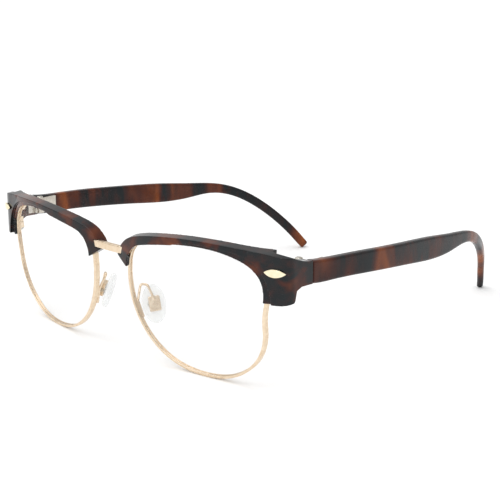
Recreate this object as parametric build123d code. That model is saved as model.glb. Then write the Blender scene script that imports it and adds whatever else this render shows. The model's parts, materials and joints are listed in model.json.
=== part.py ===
from build123d import *
import os
from math import cos, radians, sin, sqrt

# Browline eyeglasses: metal eyewires and bridge under two moulded plastic brows, bifocal lenses,
# folding plastic temples on three-knuckle hinges, and silicone nose pads on wire arms.
# Millimetres.  +X is the wearer's left, the front faces -Y, the temples run towards +Y, +Z is up.
# The frame stands open on its rims and temple tips.  Parts are modelled for the wearer's left and
# mirrored; the origin ends up on the floor below the middle of the whole frame.

# ---- lens plane and surfaces -------------------------------------------------------------------
LENS_CENTRE = (34.24, -5.18, 18.43)
WRAP = 7.2
FORWARD_TILT = 7.9
FRONT_RADIUS = 96.0
LENS_THICKNESS = 2.2
BACK_RADIUS = 125.0
SEGMENT_RADIUS = 14.2
SEGMENT_CENTRE = (-3.7, -8.0)
SEGMENT_TOP = -3.1
SEGMENT_LEDGE = 0.25
FIT_GAP = 0.04
DEPTH_LIMIT = 16.0

# Visible lens opening in the lens plane, anticlockwise from the temporal side.
OPENING = [
    (25.7, 9.0), (23.6, 18.4), (15.0, 22.65), (1.0, 23.8), (-14.0, 21.85), (-23.2, 18.0),
    (-25.3, 9.5), (-21.0, -5.4), (-11.0, -14.2), (2.0, -17.05), (15.5, -14.3), (23.4, -6.2),
]

# ---- eyewire -----------------------------------------------------------------------------------
RIM_WIDTH = 0.9
RIM_FRONT = 0.3
RIM_BACK = -1.25
GROOVE_DEPTH = 0.45
GROOVE_FRONT = -0.25
GROOVE_BACK = -0.85
TAB_BACK = -2.1
TAB_RADIUS = 1.15
BRIDGE_Z = 35.9
BRIDGE_Y = -6.35
BRIDGE_HEIGHT = 2.4
BRIDGE_DEPTH = 1.7

# ---- brow --------------------------------------------------------------------------------------
BROW_FRONT = 1.8
BROW_BACK = -1.5
LEDGE_FRONT = 1.2
BROW_TOP = [
    (-30.1, 15.5), (-28.9, 17.8), (-25.4, 21.2), (-20.5, 23.1), (-10.0, 25.0), (3.0, 25.95),
    (14.0, 25.6), (24.2, 24.75), (30.0, 24.2), (33.5, 23.3), (38.0, 21.8),
]
BROW_BOTTOM = 9.9
LEDGE_EDGE = [(-6.0, 23.0), (4.0, 24.8), (13.0, 24.2), (20.0, 22.9), (25.4, 19.3), (28.0, 14.5), (29.0, 9.0)]
PLAN_FRONT = [(55.5, -2.25), (60.0, -1.1), (64.0, 0.0), (66.5, 1.7), (67.5, 4.6)]
PLAN_BACK = [(63.6, 7.6), (62.6, 5.2), (59.5, 4.6), (55.5, 0.9)]
SIDE_TOP = [(-6.0, 46.0), (0.0, 44.3), (3.5, 42.7), (7.5, 41.1), (12.3, 40.2)]
SIDE_BOTTOM = [(12.3, 33.3), (7.6, 33.4), (5.6, 32.6), (4.9, 29.7), (3.9, 28.75), (-6.0, 28.75)]

# ---- temple ------------------------------------------------------------------------------------
HINGE_GAP_Y = 12.3
# Stations along the temple: centre x, y, z, then height and thickness of the section.
TEMPLE_STATIONS = [
    (65.95, 12.52, 36.75, 6.9, 3.2), (66.3, 22.0, 36.0, 6.8, 3.2), (66.9, 34.0, 35.4, 6.9, 3.1),
    (66.9, 47.0, 34.4, 7.1, 3.0), (66.2, 60.0, 33.3, 7.4, 2.9), (65.0, 74.0, 32.0, 7.6, 2.8),
    (63.6, 87.0, 31.2, 6.1, 2.7), (62.3, 96.0, 31.0, 4.5, 2.6), (60.9, 103.5, 30.0, 3.9, 2.5),
    (58.6, 111.5, 27.3, 3.7, 2.5), (55.4, 120.0, 22.3, 3.7, 2.5), (51.2, 128.5, 15.0, 3.7, 2.5),
    (47.2, 135.3, 7.2, 3.7, 2.5), (44.7, 139.4, 1.7, 3.5, 2.4),
]
EDGE_RADIUS = 0.85
TIP_ROUNDING = 0.7

# ---- hinge -------------------------------------------------------------------------------------
PIVOT = (62.0, 12.4)
KNUCKLE_RADIUS = 1.3
KNUCKLE_BOTTOM = 34.3
KNUCKLE_TOP = 39.7
KNUCKLE_GAP = 0.06
SCREW_RADIUS = 0.6
RUNNING_FIT = 0.04

# ---- nose pad ----------------------------------------------------------------------------------
PAD_CENTRE = (11.0, 1.8, 17.7)
PAD_UP = (-0.333, 0.083, 0.94)
PAD_NORMAL = (-0.776, 0.543, -0.323)
PAD_HEIGHT = 12.6
PAD_WIDTH = 7.6
PAD_THICKNESS = 1.7
BOX_HEIGHT = 4.8
BOX_WIDTH = 3.6
BOX_DEPTH = 1.5
BOX_WALL = 0.45
BOX_STANDOFF = 0.5
ARM_RADIUS = 0.4
PAD_SCREW_RADIUS = 0.38


def lens_plane():
    wrap = radians(WRAP)
    tilt = radians(FORWARD_TILT)
    forward = (sin(wrap) * cos(tilt), -cos(wrap) * cos(tilt), -sin(tilt))
    return Plane(origin=LENS_CENTRE, x_dir=(cos(wrap), sin(wrap), 0), z_dir=forward)


LENS = lens_plane()


def sag(u, v):
    """Height of the lens's front sphere over the lens plane."""
    return sqrt(FRONT_RADIUS**2 - u**2 - v**2) - FRONT_RADIUS


def ball(radius):
    """A ball whose poles lie away from the lens, so its cap is one plain face."""
    return Rot(90, 0, 0) * Sphere(radius)


def shell(front, back):
    """The layer between two heights over the lens's front sphere, in lens coordinates."""
    outer = ball(FRONT_RADIUS + front)
    inner = ball(FRONT_RADIUS + back)
    return Pos(0, 0, -FRONT_RADIUS) * (outer - inner)


def prism(face):
    """A face in the lens plane, extruded both ways past everything on the front."""
    return Pos(0, 0, -DEPTH_LIMIT) * extrude(face, DEPTH_LIMIT + 6)


def biarc(start, start_way, end, end_way):
    """Two tangent arcs from start to end that leave and arrive in the given directions."""
    chord = end - start
    ways = start_way + end_way
    spread = 2 * (1 - start_way.dot(end_way))
    reach = (sqrt(chord.dot(ways) ** 2 + spread * chord.dot(chord)) - chord.dot(ways)) / spread
    corner_in = start + start_way * reach
    corner_out = end - end_way * reach
    joint = (corner_in + corner_out) / 2
    through = corner_out - corner_in
    return [TangentArc(start, joint, tangent=start_way), TangentArc(joint, end, tangent=through)]


def opening(grow=0.0):
    """The lens opening as a ring of tangent arcs, grown outwards in its own plane."""
    flow = Spline(*OPENING, periodic=True)
    knots = [Vector(*point) for point in OPENING]
    ways = [flow.tangent_at(knot) for knot in knots]
    arcs = []
    for index in range(len(knots)):
        following = (index + 1) % len(knots)
        arcs += biarc(knots[index], ways[index], knots[following], ways[following])
    face = make_face(arcs)
    if grow:
        face = offset(face, grow)
    return face


def block(x, y, z, centre):
    return Pos(*centre) * Box(x, y, z)


def rod(radius, height, base):
    """A round rod standing on base along +Z."""
    return Pos(*base) * Cylinder(radius, height, align=(Align.CENTER, Align.CENTER, Align.MIN))


def between(face_solid, front, back):
    return face_solid & shell(front, back)


def on_sphere(u, v, height=0.0):
    """A plane on the lens's front sphere at u, v: Z points out of it, X stays level."""
    deep = sag(u, v)
    normal = Vector(u, v, deep + FRONT_RADIUS).normalized()
    level = Vector(1, 0, 0)
    return Plane(origin=Vector(u, v, deep) + normal * height, x_dir=level - normal * level.dot(normal), z_dir=normal)


# ---- eyewire, lens and what is soldered to them ---------------------------------------------------
SPLIT_V = 13.4
SPLIT_GAP = 0.12
TEMPORAL_SCREW = (23.9, 21.2)
NASAL_SCREW = (-20.7, 22.1)
TAB_HOLE_GAP = 0.05


def screw_tab(u, v):
    """Tab soldered behind the eyewire, reaching behind the brow to a screw hole."""
    seat = on_sphere(u, v)
    pad = seat * (Pos(0, 0, -4) * Cylinder(TAB_RADIUS, 6))
    inward = Vector(-u, -v).normalized() * 2.2
    middle = (u + inward.X / 2, v + inward.Y / 2, -6)
    turn = Vector(u, v).get_signed_angle(Vector(1, 0), Vector(0, 0, -1))
    arm = Pos(*middle) * Rot(0, 0, turn) * Box(2.2, 1.7, 14)
    plate = (pad + arm) & shell(BROW_BACK - FIT_GAP, TAB_BACK)
    hole = seat * Cylinder(BROW_SCREW_RADIUS + TAB_HOLE_GAP, 12)
    return plate - hole - prism(opening())


def eyewire():
    """Grooved metal loop with its saw cut at the closing block and its two screw tabs."""
    ring = between(prism(opening(RIM_WIDTH)) - prism(opening()), RIM_FRONT, RIM_BACK)
    groove = between(prism(opening(GROOVE_DEPTH)), GROOVE_FRONT, GROOVE_BACK)
    ring = ring - groove
    band = prism(opening(RIM_WIDTH)) - prism(opening())
    for u, v in (TEMPORAL_SCREW, NASAL_SCREW):
        tab = screw_tab(u, v)
        foot = screw_foot(u, v, band)
        ring = ring + foot + tab
    ring = ring - Pos(26, SPLIT_V, -5) * Box(5, SPLIT_GAP, 14)
    return LENS.location * ring


def screw_foot(u, v, band):
    """Solder foot joining a screw tab to the back of the eyewire."""
    reach = Vector(u, v).normalized() * 2.2
    near = Pos(u - reach.X, v - reach.Y, -6) * Cylinder(1.6, 14)
    return near & between(band, RIM_BACK + 0.3, TAB_BACK)


def lens():
    """Bifocal lens: meniscus body, edge tongue in the groove and a flat-topped near segment."""
    front = ball(FRONT_RADIUS)
    body = prism(opening(-FIT_GAP)) & (Pos(0, 0, -FRONT_RADIUS) * front)
    body = body - Pos(0, 0, -BACK_RADIUS - LENS_THICKNESS) * ball(BACK_RADIUS)
    tongue = between(prism(opening(GROOVE_DEPTH - FIT_GAP)), GROOVE_FRONT - FIT_GAP, GROOVE_BACK + FIT_GAP)
    segment = Pos(*SEGMENT_CENTRE) * Circle(SEGMENT_RADIUS)
    above = Pos(SEGMENT_CENTRE[0], SEGMENT_TOP + 20, 0) * Rectangle(40, 40)
    segment = (segment - above) & opening(-FIT_GAP)
    step = between(prism(segment), SEGMENT_LEDGE, -0.5)
    return LENS.location * (body + tongue + step)


BLOCK_LOW = (25.9, 11.3)
BLOCK_HIGH = (28.9, 15.5)
BLOCK_FRONT = -4.3
BLOCK_BACK = -7.4
LOCK_SCREW = (27.7, -6.1)
LOCK_RADIUS = 0.45
LOCK_HEAD_RADIUS = 0.8
LOCK_HEAD = 0.6


def closing_box(grow=0.0, low=BLOCK_LOW[1], back=BLOCK_BACK):
    """The box of the closing block in lens coordinates."""
    u0, u1 = BLOCK_LOW[0] - grow, BLOCK_HIGH[0] + grow
    v0, v1 = low - grow, BLOCK_HIGH[1] + grow
    w0, w1 = back, BLOCK_FRONT + grow
    return block(u1 - u0, v1 - v0, w1 - w0, ((u0 + u1) / 2, (v0 + v1) / 2, (w0 + w1) / 2))


def lock_axis(radius, low, high):
    """A rod along the rim-lock screw's axis, from v = low to v = high."""
    stand = Pos(LOCK_SCREW[0], low, LOCK_SCREW[1]) * Rot(-90, 0, 0)
    return stand * Cylinder(radius, high - low, align=(Align.CENTER, Align.CENTER, Align.MIN))


def closing_block():
    """Two half barrels soldered to the cut ends of the eyewire and drawn together by a screw."""
    both = closing_box() - prism(opening(RIM_WIDTH))
    both = both - block(8, SPLIT_GAP, 14, (27, SPLIT_V, -6))
    return LENS.location * (both - lock_axis(LOCK_RADIUS, 8, 18))


def rim_lock_screw():
    head = lock_axis(LOCK_HEAD_RADIUS, BLOCK_LOW[1] - LOCK_HEAD, BLOCK_LOW[1])
    slot = block(3, 0.5, 0.25, (LOCK_SCREW[0], BLOCK_LOW[1] - LOCK_HEAD, LOCK_SCREW[1]))
    return LENS.location * (head - slot + lock_axis(LOCK_RADIUS, BLOCK_LOW[1], BLOCK_HIGH[1]))


def bridge():
    """Flat metal bar between the two eyewires."""
    length = 24.0
    bar = block(length, BRIDGE_DEPTH, BRIDGE_HEIGHT, (0, BRIDGE_Y, BRIDGE_Z))
    bar = fillet(bar.edges().filter_by(Axis.X), 0.4)
    rim_side = LENS.location * prism(opening(RIM_WIDTH))
    return bar - rim_side - mirror(rim_side, about=Plane.YZ)


BROW_SCREW_RADIUS = 0.4
BROW_SCREW_HEAD = 0.8
BROW_SCREW_LENGTH = 2.4


def brow_screw(u, v):
    """Small slotted screw through a tab into the back of the brow."""
    seat = on_sphere(u, v, TAB_BACK - 0.06)
    shank = Cylinder(BROW_SCREW_RADIUS, BROW_SCREW_LENGTH, align=(Align.CENTER, Align.CENTER, Align.MIN))
    head = Cylinder(BROW_SCREW_HEAD, 0.5, align=(Align.CENTER, Align.CENTER, Align.MAX))
    head = fillet(head.edges().sort_by(Axis.Z)[0], 0.2)
    slot = Pos(0, 0, -0.5) * Box(3, 0.25, 0.4)
    return LENS.location * (seat * (shank + (head - slot)))


def brow_screws():
    return Compound([brow_screw(*TEMPORAL_SCREW), brow_screw(*NASAL_SCREW)])


# ---- brow and stud --------------------------------------------------------------------------------
STUD_CENTRE = (64.0, 0.0, 38.3)
STUD_TURN = 21.5
STUD_LENGTH = 6.8
STUD_HEIGHT = 2.4
STUD_RISE = 0.75
STUD_POST = 0.6


def brow_outline():
    """Front outline of the brow in the lens plane, down to its lowest edge."""
    top = Spline(*BROW_TOP)
    far_u = BROW_TOP[-1][0]
    under = Polyline(
        BROW_TOP[-1], (far_u, BROW_BOTTOM), (18, BROW_BOTTOM), (-20, BROW_BOTTOM), (-24, 12.0),
        (-27.0, 13.7), BROW_TOP[0],
    )
    return make_face([top, under])


def endpiece():
    """Block that carries the stud and turns the corner to the hinge gap, with its lower lobe."""
    side = 67.5
    outer = Line((side, PLAN_FRONT[-1][1]), (side, HINGE_GAP_Y))
    inner = Line((PLAN_BACK[0][0], HINGE_GAP_Y), PLAN_BACK[0])
    plan = make_face([
        Spline(*PLAN_FRONT, tangents=[(4, 1.0), (0, 1)]),
        outer,
        Line((side, HINGE_GAP_Y), (PLAN_BACK[0][0], HINGE_GAP_Y)),
        inner,
        Spline(*PLAN_BACK, tangents=[(0, -1), (-4, -1.0)]),
        Line(PLAN_BACK[-1], PLAN_FRONT[0]),
    ])
    column = Pos(0, 0, 20) * extrude(plan, 30)
    top = Spline(*SIDE_TOP)
    bottom = Polyline(*SIDE_BOTTOM)
    profile = make_face([
        top,
        Line(SIDE_TOP[-1], SIDE_BOTTOM[0]),
        bottom,
        Line(SIDE_BOTTOM[-1], SIDE_TOP[0]),
    ])
    side_cut = Pos(50, 0, 0) * (Plane.YZ * extrude(profile, 24))
    return column & side_cut


def ledge_region():
    """Area along the lens side of the brow that is stepped back, widening towards the endpiece."""
    edge = Spline(*LEDGE_EDGE)
    return make_face([edge, Polyline(LEDGE_EDGE[-1], (20, 9), (-6, 20), LEDGE_EDGE[0])])


def brow():
    """Plastic brow: a lip over the front of the eyewire, full depth above it, and the endpiece."""
    front = prism(brow_outline())
    near_limit = block(58, 60, 60, (-1, 10, 0))
    arch = between(front & near_limit, BROW_FRONT, BROW_BACK)
    body = LENS.location * arch + (endpiece() & (LENS.location * front))
    channel = between(prism(opening(RIM_WIDTH + FIT_GAP)), RIM_FRONT + FIT_GAP, -DEPTH_LIMIT + 2)
    ledge = between(prism(ledge_region()), 4, LEDGE_FRONT)
    pocket = closing_box(0.1, BROW_BOTTOM - 1, -DEPTH_LIMIT)
    cut = channel + ledge + prism(opening()) + pocket
    body = body - LENS.location * cut
    for u, v in (TEMPORAL_SCREW, NASAL_SCREW):
        body = body - LENS.location * (on_sphere(u, v, TAB_BACK) * Cylinder(
            BROW_SCREW_RADIUS, 2 * BROW_SCREW_LENGTH))
    slot = block(24, BRIDGE_DEPTH + 2 * FIT_GAP, BRIDGE_HEIGHT + 2 * FIT_GAP, (0, BRIDGE_Y, BRIDGE_Z))
    body = body - slot - stud_post(STUD_POST)
    return body


def stud_frame():
    return Location(STUD_CENTRE) * Rot(90, 0, 0) * Rot(0, STUD_TURN, 0)


def stud_post(radius):
    return stud_frame() * (Pos(0, 0, -1.2) * Cylinder(radius, 2.8))


def stud():
    """Almond-shaped dome with a post pressed into the endpiece."""
    half = STUD_LENGTH / 2
    upper = ThreePointArc((-half, 0), (0, STUD_HEIGHT / 2), (half, 0))
    lower = ThreePointArc((half, 0), (0, -STUD_HEIGHT / 2), (-half, 0))
    almond = extrude(make_face([upper, lower]), STUD_RISE)
    dome_radius = 9.0
    dome = Pos(0, 0, STUD_RISE - dome_radius) * Sphere(dome_radius)
    return stud_frame() * (Pos(0, 0, 0.1) * (almond & dome)) + stud_post(STUD_POST)


# ---- hinge and temple -----------------------------------------------------------------------------
FRONT_PLATE = (0.7, 2.9, 5.2)
TEMPLE_PLATE = (1.2, 7.0, 4.2)
LEAF_REACH = 2.0
HINGE_HEAD_RADIUS = 1.1
HINGE_HEAD = 0.5


def knuckle(low, high, bore):
    turn = (*PIVOT, low)
    return rod(KNUCKLE_RADIUS, high - low, turn) - rod(bore, high - low, turn)


def knuckle_levels():
    """Heights between the knuckles: the temple's single knuckle sits between the front's two."""
    third = (KNUCKLE_TOP - KNUCKLE_BOTTOM) / 3
    return KNUCKLE_BOTTOM + third, KNUCKLE_TOP - third


def front_hinge():
    """Plate on the inside of the endpiece with an upper and a lower knuckle."""
    low, high = knuckle_levels()
    depth, run, tall = FRONT_PLATE
    plate_x = PLAN_BACK[0][0] - depth / 2
    middle = (KNUCKLE_BOTTOM + KNUCKLE_TOP) / 2
    hinge = block(depth, run, tall, (plate_x, PIVOT[1] - KNUCKLE_RADIUS - 0.3 - run / 2, middle))
    for base, top in ((KNUCKLE_BOTTOM, low - KNUCKLE_GAP), (high + KNUCKLE_GAP, KNUCKLE_TOP)):
        leaf = block(PLAN_BACK[0][0] - PIVOT[0], LEAF_REACH, top - base,
                     ((PLAN_BACK[0][0] + PIVOT[0]) / 2, PIVOT[1] - LEAF_REACH / 2 - 0.1, (base + top) / 2))
        leaf = leaf - rod(KNUCKLE_RADIUS - 0.1, 20, (*PIVOT, 30))
        hinge = hinge + leaf + knuckle(base, top, SCREW_RADIUS)
    return hinge


def hinge_screw():
    """Pivot screw dropped in from above, with a slotted head."""
    shank = rod(SCREW_RADIUS, KNUCKLE_TOP - KNUCKLE_BOTTOM, (*PIVOT, KNUCKLE_BOTTOM))
    head = rod(HINGE_HEAD_RADIUS, HINGE_HEAD, (*PIVOT, KNUCKLE_TOP))
    head = fillet(head.edges().sort_by(Axis.Z)[-1], 0.2)
    slot = block(3, 0.3, 0.4, (*PIVOT, KNUCKLE_TOP + HINGE_HEAD))
    return shank + (head - slot)


def temple_plate(grow=0.0):
    depth, run, tall = TEMPLE_PLATE
    middle = (KNUCKLE_BOTTOM + KNUCKLE_TOP) / 2
    centre = (PLAN_BACK[0][0] + 0.1 + depth / 2, HINGE_GAP_Y + 1.3 + run / 2, middle)
    return block(depth + 2 * grow, run + 2 * grow, tall + 2 * grow, centre)


def temple_hinge():
    """Plate let into the temple's inner face with the middle knuckle."""
    low, high = knuckle_levels()
    reach = LEAF_REACH + 0.5
    leaf = block(PLAN_BACK[0][0] + 0.4 - PIVOT[0], reach, high - low,
                 ((PLAN_BACK[0][0] + 0.4 + PIVOT[0]) / 2, PIVOT[1] + reach / 2 + 0.1, (low + high) / 2))
    leaf = leaf - rod(KNUCKLE_RADIUS - 0.1, 20, (*PIVOT, 30))
    return temple_plate() + leaf + knuckle(low, high, SCREW_RADIUS + RUNNING_FIT)


def temple_section(plane, height, thickness):
    radius = min(EDGE_RADIUS, thickness / 2 - 0.15)
    return plane * RectangleRounded(thickness, height, radius)


def temple():
    """Plastic temple lofted through rounded sections, thinning and curving in over the ear."""
    line = Spline(*[station[:3] for station in TEMPLE_STATIONS], tangents=[(0, 1, -0.08), (-2.3, 4.2, -5.4)])
    sections = []
    for x, y, z, height, thickness in TEMPLE_STATIONS:
        at = line.param_at_point((x, y, z))
        along = line.tangent_at(at)
        if not sections:
            along = Vector(0, 1, 0)
        side = along.cross(Vector(0, 0, 1)).normalized()
        plane = Plane(origin=(x, y, z), x_dir=side, z_dir=along)
        sections.append(temple_section(plane, height, thickness))
    body = loft(sections)
    tip = body.faces().sort_by(Axis.Y)[-1]
    body = fillet(tip.edges(), TIP_ROUNDING)
    return body - temple_plate(FIT_GAP)


# ---- nose pad -------------------------------------------------------------------------------------
ARM_FOOT = (-22.4, -4.6)
ARM_LEAVES = (-24.3, 0.3)
ARM_TOP = (8.35, -1.3, 24.4)
ARM_OVER = (10.4, -0.2, 24.2)
ARM_END = (12.7, 0.45, 19.8)


def pad_plane():
    """Plane of the pad: Z towards the nose, Y up along the pad."""
    normal = Vector(*PAD_NORMAL).normalized()
    up = Vector(*PAD_UP)
    up = (up - normal * up.dot(normal)).normalized()
    return Plane(origin=PAD_CENTRE, x_dir=up.cross(normal), z_dir=normal)


PAD = pad_plane()
PAD_BACK = -PAD_THICKNESS / 2
BOX_MOUTH = PAD_BACK - BOX_STANDOFF
BOX_FLOOR = BOX_MOUTH - BOX_DEPTH
PAD_AXIS_DEPTH = BOX_MOUTH - BOX_DEPTH / 2 + 0.1


def pad_rod(radius, length):
    """A rod along the pad's rocking axis, which crosses the box from side to side."""
    return PAD.location * (Pos(0, 0, PAD_AXIS_DEPTH) * Rot(0, 90, 0) * Cylinder(radius, length))


def nose_pad():
    """Oval silicone pad, domed towards the nose, with a boss held in the metal box."""
    blank = extrude(Ellipse(PAD_WIDTH / 2, PAD_HEIGHT / 2), PAD_THICKNESS / 2, both=True)
    blank = fillet(blank.edges(), PAD_THICKNESS / 2 - 0.15)
    boss_height = BOX_HEIGHT - 2 * BOX_WALL - 0.6
    boss_width = BOX_WIDTH - 2 * BOX_WALL - 0.3
    boss_end = BOX_FLOOR + BOX_WALL + 0.2
    boss_depth = PAD_BACK + 0.3 - boss_end
    boss = block(boss_width, boss_height, boss_depth, (0, 0, boss_end + boss_depth / 2))
    return PAD.location * (blank + boss) - pad_rod(PAD_SCREW_RADIUS + RUNNING_FIT, 8)


def pad_screw():
    head_length = 0.4
    shank = pad_rod(PAD_SCREW_RADIUS, BOX_WIDTH)
    offset_x = BOX_WIDTH / 2 + head_length / 2
    head = Pos(offset_x, 0, PAD_AXIS_DEPTH) * Rot(0, 90, 0) * Cylinder(0.65, head_length)
    slot = block(0.4, 3, 0.2, (offset_x + 0.2, 0, PAD_AXIS_DEPTH))
    return shank + PAD.location * (head - slot)


def rim_back(u, v):
    """Point on the wire's line where it lies against the back of the eyewire."""
    return (LENS.location * Location((u, v, sag(u, v) + RIM_BACK - ARM_RADIUS + 0.1))).position


def pad_arm():
    """Wire soldered to the back of the eyewire, bent over in a U to an open metal box."""
    middle = (BOX_MOUTH + BOX_FLOOR) / 2
    cup = block(BOX_WIDTH, BOX_HEIGHT, BOX_DEPTH, (0, 0, middle))
    cup = fillet(cup.edges().filter_by(Axis.Z), 0.5)
    inside = (BOX_WIDTH - 2 * BOX_WALL, BOX_HEIGHT - 2 * BOX_WALL)
    cavity = block(*inside, BOX_DEPTH, (0, 0, middle + BOX_WALL))
    cup = PAD.location * (cup - cavity) - pad_rod(PAD_SCREW_RADIUS, 8)
    foot = rim_back(*ARM_FOOT)
    leaves = rim_back(*ARM_LEAVES)
    path = FilletPolyline(foot, leaves, ARM_TOP, ARM_OVER, ARM_END, radius=[1.5, 0.9, 0.9])
    wire = sweep(Plane(origin=path @ 0, z_dir=path % 0) * Circle(ARM_RADIUS), path=path)
    solder_run = Line(foot, leaves)
    solder = sweep(Plane(origin=foot, z_dir=solder_run % 0) * Circle(ARM_RADIUS + 0.15), path=solder_run)
    rim = LENS.location * between(prism(opening(RIM_WIDTH)), 2, RIM_BACK)
    lens_room = LENS.location * between(prism(opening()), 2, -LENS_THICKNESS - FIT_GAP)
    return cup + (wire + solder - rim - lens_room)


# ---- the whole frame ------------------------------------------------------------------------------
def sided_parts():
    """Every part that exists once on each side, as modelled for the wearer's left."""
    return {
        "eyewire": eyewire(),
        "lens": lens(),
        "closing_block": closing_block(),
        "rim_lock_screw": rim_lock_screw(),
        "brow": brow(),
        "brow_screws": brow_screws(),
        "stud": stud(),
        "front_hinge": front_hinge(),
        "hinge_screw": hinge_screw(),
        "temple_hinge": temple_hinge(),
        "temple": temple(),
        "pad_arm": pad_arm(),
        "nose_pad": nose_pad(),
        "pad_screw": pad_screw(),
    }


def all_parts():
    parts = {"bridge": bridge()}
    for name, solid in sided_parts().items():
        parts[name + "_left"] = solid
        parts[name + "_right"] = mirror(solid, about=Plane.YZ)
    return parts


def move_to_origin(parts):
    """Put the origin on the floor below the middle of the open frame."""
    boxes = [solid.bounding_box() for solid in parts.values()]
    middle_y = (min(box.min.Y for box in boxes) + max(box.max.Y for box in boxes)) / 2
    floor_z = min(box.min.Z for box in boxes)
    print("moved by", -middle_y, -floor_z)
    return {name: Pos(0, -middle_y, -floor_z) * solid for name, solid in parts.items()}


os.makedirs("parts", exist_ok=True)
for node, solid in move_to_origin(all_parts()).items():
    export_step(Compound(solid.solids()), f"parts/{node}.step")
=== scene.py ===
import json
from math import cos, radians, sin

import bpy
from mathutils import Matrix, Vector


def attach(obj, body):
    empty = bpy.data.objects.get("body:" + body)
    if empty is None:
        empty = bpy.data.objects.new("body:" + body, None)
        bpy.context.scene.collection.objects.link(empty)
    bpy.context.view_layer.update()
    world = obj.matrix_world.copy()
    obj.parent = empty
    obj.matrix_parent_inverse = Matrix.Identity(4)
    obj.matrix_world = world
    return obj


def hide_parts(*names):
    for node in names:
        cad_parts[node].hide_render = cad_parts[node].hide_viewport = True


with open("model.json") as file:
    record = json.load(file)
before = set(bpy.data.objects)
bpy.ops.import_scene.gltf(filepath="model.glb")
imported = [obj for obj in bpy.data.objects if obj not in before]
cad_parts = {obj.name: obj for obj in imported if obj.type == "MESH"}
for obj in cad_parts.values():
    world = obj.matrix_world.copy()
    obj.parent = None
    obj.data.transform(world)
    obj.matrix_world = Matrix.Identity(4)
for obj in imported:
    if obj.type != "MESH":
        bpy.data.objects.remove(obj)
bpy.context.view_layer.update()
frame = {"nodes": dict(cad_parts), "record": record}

MM = 0.001
SIDES = ("left", "right")

# ---- camera, placed from the middle of the object ------------------------------------------------
CAMERA_AZIMUTH = 43.49
CAMERA_ELEVATION = 14.55
CAMERA_FROM_ORIGIN = (262.10 * MM, -285.07 * MM, 120.80 * MM)
FOCAL_LENGTH = 79.44
SENSOR = 36.0

# ---- surface detail --------------------------------------------------------------------------------
BROW_VOXEL = 0.13 * MM
WIRE_VOXEL = 0.11 * MM
TEMPLE_VOXEL = 0.24 * MM
PAD_VOXEL = 0.14 * MM
STUD_VOXEL = 0.06 * MM
SOFTEN_TURNS = 6
SOFTEN_FACTOR = 0.5
EDGE_BEVEL = 0.07 * MM


# ---- node helpers ----------------------------------------------------------------------------------
def new_material(name):
    material = bpy.data.materials.new(name)
    material.use_nodes = True
    tree = material.node_tree
    shader = tree.nodes["Principled BSDF"]
    return material, tree, shader


def mapped_position(tree, scale):
    """Object coordinates in metres, stretched by scale, so a pattern rides with its piece."""
    place = tree.nodes.new("ShaderNodeTexCoord")
    mapping = tree.nodes.new("ShaderNodeMapping")
    mapping.inputs["Scale"].default_value = scale
    tree.links.new(place.outputs["Object"], mapping.inputs["Vector"])
    return mapping.outputs["Vector"]


def noise(tree, vector, scale, detail=3.0, distortion=0.0):
    node = tree.nodes.new("ShaderNodeTexNoise")
    node.inputs["Scale"].default_value = scale
    node.inputs["Detail"].default_value = detail
    node.inputs["Distortion"].default_value = distortion
    tree.links.new(vector, node.inputs["Vector"])
    return node.outputs["Fac"]


def ramp(tree, value, stops):
    node = tree.nodes.new("ShaderNodeValToRGB")
    elements = node.color_ramp.elements
    while len(elements) < len(stops):
        elements.new(0.5)
    for element, (position, colour) in zip(elements, stops):
        element.position = position
        element.color = (*colour, 1.0)
    tree.links.new(value, node.inputs["Fac"])
    return node.outputs["Color"]


def spread(tree, value, low, high):
    """The value, which runs about 0.3 to 0.7, spread from low to high."""
    node = tree.nodes.new("ShaderNodeMapRange")
    node.inputs["From Min"].default_value = 0.3
    node.inputs["From Max"].default_value = 0.7
    node.inputs["To Min"].default_value = low
    node.inputs["To Max"].default_value = high
    tree.links.new(value, node.inputs["Value"])
    return node.outputs["Result"]


def bump(tree, shader, height, distance, strength):
    node = tree.nodes.new("ShaderNodeBump")
    node.inputs["Distance"].default_value = distance
    node.inputs["Strength"].default_value = strength
    tree.links.new(height, node.inputs["Height"])
    tree.links.new(node.outputs["Normal"], shader.inputs["Normal"])


def mix_colour(tree, fac, first, second):
    node = tree.nodes.new("ShaderNodeMix")
    node.data_type = "RGBA"
    tree.links.new(fac, node.inputs["Factor"])
    tree.links.new(first, node.inputs["A"])
    tree.links.new(second, node.inputs["B"])
    return node.outputs["Result"]


# ---- materials -------------------------------------------------------------------------------------
BLACK = (0.003, 0.004, 0.005)
TEAL_BLACK = (0.005, 0.009, 0.011)
RED_BROWN = (0.050, 0.010, 0.005)
WARM_BROWN = (0.120, 0.028, 0.008)
AMBER = (0.36, 0.09, 0.010)
PLASTIC_SPECULAR = 0.16


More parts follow.
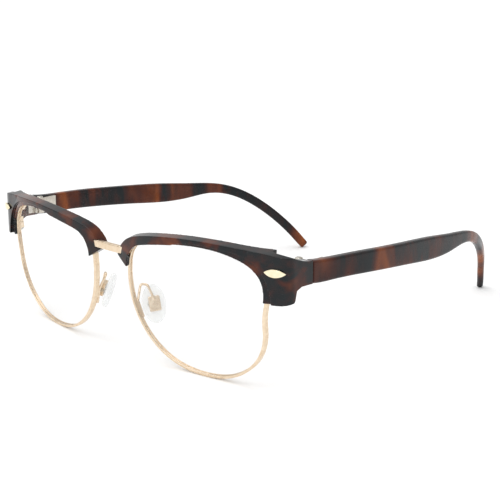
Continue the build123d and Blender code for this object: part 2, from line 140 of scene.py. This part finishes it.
def tortoiseshell(name, stretch, scale, roughness, coat, warm):
    """Dark plastic with soft-edged red-brown and amber clouds; stretch shapes the clouds."""
    material, tree, shader = new_material(name)
    place = mapped_position(tree, stretch)
    cloud = noise(tree, place, scale, 2.0, 0.35)
    colour = ramp(tree, cloud, [
        (0.0, BLACK), (0.49 - warm, TEAL_BLACK), (0.55 - warm, RED_BROWN), (0.63 - warm, WARM_BROWN),
        (0.76 - warm, AMBER),
    ])
    fine = noise(tree, place, scale * 4.5, 4.0, 0.2)
    streak = ramp(tree, fine, [(0.40, BLACK), (0.62, RED_BROWN)])
    amount = spread(tree, noise(tree, place, scale * 2.2, 2.0), 0.0, 0.55)
    tree.links.new(mix_colour(tree, amount, colour, streak), shader.inputs["Base Color"])
    smear = noise(tree, mapped_position(tree, (1, 1, 1)), 240.0, 3.0)
    tree.links.new(spread(tree, smear, roughness * 0.75, roughness * 1.3), shader.inputs["Roughness"])
    ripple = noise(tree, mapped_position(tree, (1, 1, 1)), 900.0, 2.0)
    bump(tree, shader, ripple, 0.00002, 0.12)
    shader.inputs["IOR"].default_value = 1.5
    shader.inputs["Specular IOR Level"].default_value = PLASTIC_SPECULAR
    shader.inputs["Coat Weight"].default_value = coat
    shader.inputs["Coat Roughness"].default_value = 0.06
    return material


def metal(name, light, dark, roughness):
    """Plated metal with a faint drawn grain and slight tarnish."""
    material, tree, shader = new_material(name)
    grain = noise(tree, mapped_position(tree, (1, 1, 1)), 700.0, 4.0)
    colour = ramp(tree, grain, [(0.3, dark), (0.7, light)])
    tree.links.new(colour, shader.inputs["Base Color"])
    tree.links.new(spread(tree, grain, roughness * 0.8, roughness * 1.25), shader.inputs["Roughness"])
    fine = noise(tree, mapped_position(tree, (1, 1, 1)), 3000.0, 2.0)
    bump(tree, shader, fine, 0.00001, 0.15)
    shader.inputs["Metallic"].default_value = 1.0
    return material


def clear(name, tint, alpha, roughness, transmission):
    """Clear moulded plastic; a faint haze varies its gloss."""
    material, tree, shader = new_material(name)
    haze = noise(tree, mapped_position(tree, (1, 1, 1)), 120.0, 3.0)
    edge = tuple(channel * 0.94 for channel in tint)
    tree.links.new(ramp(tree, haze, [(0.3, edge), (0.7, tint)]), shader.inputs["Base Color"])
    tree.links.new(spread(tree, haze, roughness * 0.7, roughness * 1.4), shader.inputs["Roughness"])
    shader.inputs["Alpha"].default_value = alpha
    shader.inputs["Transmission Weight"].default_value = transmission
    shader.inputs["IOR"].default_value = 1.45
    return material


MATERIALS = {
    "tortoiseshell_brow": tortoiseshell("tortoiseshell_brow", (1.0, 1.0, 1.3), 95.0, 0.14, 0.28, 0.0),
    "tortoiseshell_temple": tortoiseshell("tortoiseshell_temple", (0.5, 1.0, 0.35), 85.0, 0.28, 0.14, 0.02),
    "gold_wire": metal("gold_wire", (0.86, 0.72, 0.55), (0.74, 0.58, 0.41), 0.30),
    "polished_stud": metal("polished_stud", (0.95, 0.87, 0.66), (0.86, 0.76, 0.52), 0.10),
    "hinge_metal": metal("hinge_metal", (0.66, 0.62, 0.55), (0.50, 0.46, 0.40), 0.32),
    "steel_screw": metal("steel_screw", (0.72, 0.69, 0.62), (0.55, 0.52, 0.46), 0.26),
    "clear_lens": clear("clear_lens", (0.90, 0.93, 0.94), 0.05, 0.03, 0.0),
    "pad_silicone": clear("pad_silicone", (0.93, 0.95, 0.95), 0.42, 0.22, 0.0),
}


# ---- pieces ----------------------------------------------------------------------------------------
def body_of_node(node):
    for body, members in frame["record"]["behaviour"]["bodies"].items():
        if node in members:
            return body
    raise ValueError(node)


def slot_of_node(node):
    return next(row["material_slot"] for row in frame["record"]["subparts"] if row["node"] == node)


def smooth_all(mesh):
    mesh.polygons.foreach_set("use_smooth", [True] * len(mesh.polygons))


def softened(node, voxel, turns=SOFTEN_TURNS):
    """A fine copy of a CAD node with its edges melted round, riding in the node's place."""
    copy = bpy.data.objects.new(node + "_skin", frame["nodes"][node].data.copy())
    bpy.context.scene.collection.objects.link(copy)
    remesh = copy.modifiers.new("remesh", "REMESH")
    remesh.mode = "VOXEL"
    remesh.voxel_size = voxel
    melt = copy.modifiers.new("melt", "SMOOTH")
    melt.factor = SOFTEN_FACTOR
    melt.iterations = turns
    bpy.context.view_layer.update()
    done = bpy.data.meshes.new_from_object(copy.evaluated_get(bpy.context.evaluated_depsgraph_get()))
    copy.modifiers.clear()
    copy.data = done
    smooth_all(done)
    slot = slot_of_node(node)
    done.materials.clear()
    done.materials.append(MATERIALS[slot])
    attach(copy, body_of_node(node))
    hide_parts(node)
    return copy


def finish_in_place(node):
    """Gives a small CAD node its material and a fine bevel along its edges."""
    piece = frame["nodes"][node]
    piece.data.materials.clear()
    piece.data.materials.append(MATERIALS[slot_of_node(node)])
    bevel = piece.modifiers.new("edges", "BEVEL")
    bevel.width = EDGE_BEVEL
    bevel.segments = 2
    bevel.limit_method = "ANGLE"
    bevel.angle_limit = radians(35)
    bevel.harden_normals = True


def dress(node):
    kind = node.rsplit("_", 1)[0] if node != "bridge" else node
    voxels = {
        "brow": BROW_VOXEL, "eyewire": WIRE_VOXEL, "temple": TEMPLE_VOXEL, "nose_pad": PAD_VOXEL,
        "stud": STUD_VOXEL, "pad_arm": WIRE_VOXEL, "bridge": WIRE_VOXEL,
    }
    if kind in voxels:
        softened(node, voxels[kind])
    else:
        finish_in_place(node)


# ---- stage, lights and camera ----------------------------------------------------------------------
def pale_material():
    material, tree, shader = new_material("studio_white")
    paper = noise(tree, mapped_position(tree, (1, 1, 1)), 60.0, 3.0)
    colour = ramp(tree, paper, [(0.3, (0.92, 0.92, 0.92)), (0.7, (0.93, 0.93, 0.93))])
    tree.links.new(colour, shader.inputs["Base Color"])
    shader.inputs["Roughness"].default_value = 0.9
    shader.inputs["Specular IOR Level"].default_value = 0.1
    return material


def floor():
    size = 40.0
    bpy.ops.mesh.primitive_plane_add(size=size, location=(0, 0, -0.00002))
    plane = bpy.context.object
    plane.name = "studio_floor"
    plane.data.materials.append(pale_material())


def area_light(name, place, target, size, power):
    lamp = bpy.data.lights.new(name, "AREA")
    lamp.shape = "SQUARE"
    lamp.size = size
    lamp.energy = power
    stand = bpy.data.objects.new(name, lamp)
    bpy.context.scene.collection.objects.link(stand)
    stand.location = place
    stand.rotation_euler = (Vector(target) - Vector(place)).to_track_quat("-Z", "Y").to_euler()


def studio():
    """A broad soft sun for the whole floor, a small front softbox and an even pale world."""
    sun = bpy.data.lights.new("soft_sun", "SUN")
    sun.energy = 1.5
    sun.angle = radians(70)
    stand = bpy.data.objects.new("soft_sun", sun)
    bpy.context.scene.collection.objects.link(stand)
    stand.rotation_euler = (radians(18), radians(-12), 0)
    area_light("front_softbox", (0.45, -0.75, 0.55), (0, 0, 0.02), 0.25, 1.2)
    world = bpy.data.worlds.new("studio")
    world.use_nodes = True
    back = world.node_tree.nodes["Background"]
    back.inputs["Color"].default_value = (1.0, 1.0, 1.0, 1.0)
    back.inputs["Strength"].default_value = 0.75
    bpy.context.scene.world = world


def camera():
    lens = bpy.data.cameras.new("camera")
    lens.lens = FOCAL_LENGTH
    lens.sensor_width = SENSOR
    lens.clip_start = 0.01
    view = bpy.data.objects.new("camera", lens)
    bpy.context.scene.collection.objects.link(view)
    view.location = CAMERA_FROM_ORIGIN
    azimuth = radians(CAMERA_AZIMUTH)
    elevation = radians(CAMERA_ELEVATION)
    ahead = Vector((-sin(azimuth) * cos(elevation), cos(azimuth) * cos(elevation), -sin(elevation)))
    view.rotation_euler = ahead.to_track_quat("-Z", "Y").to_euler()
    bpy.context.scene.camera = view
    bpy.context.scene.view_settings.view_transform = "Standard"


camera()
for node_name in sorted(frame["nodes"]):
    dress(node_name)
floor()
studio()
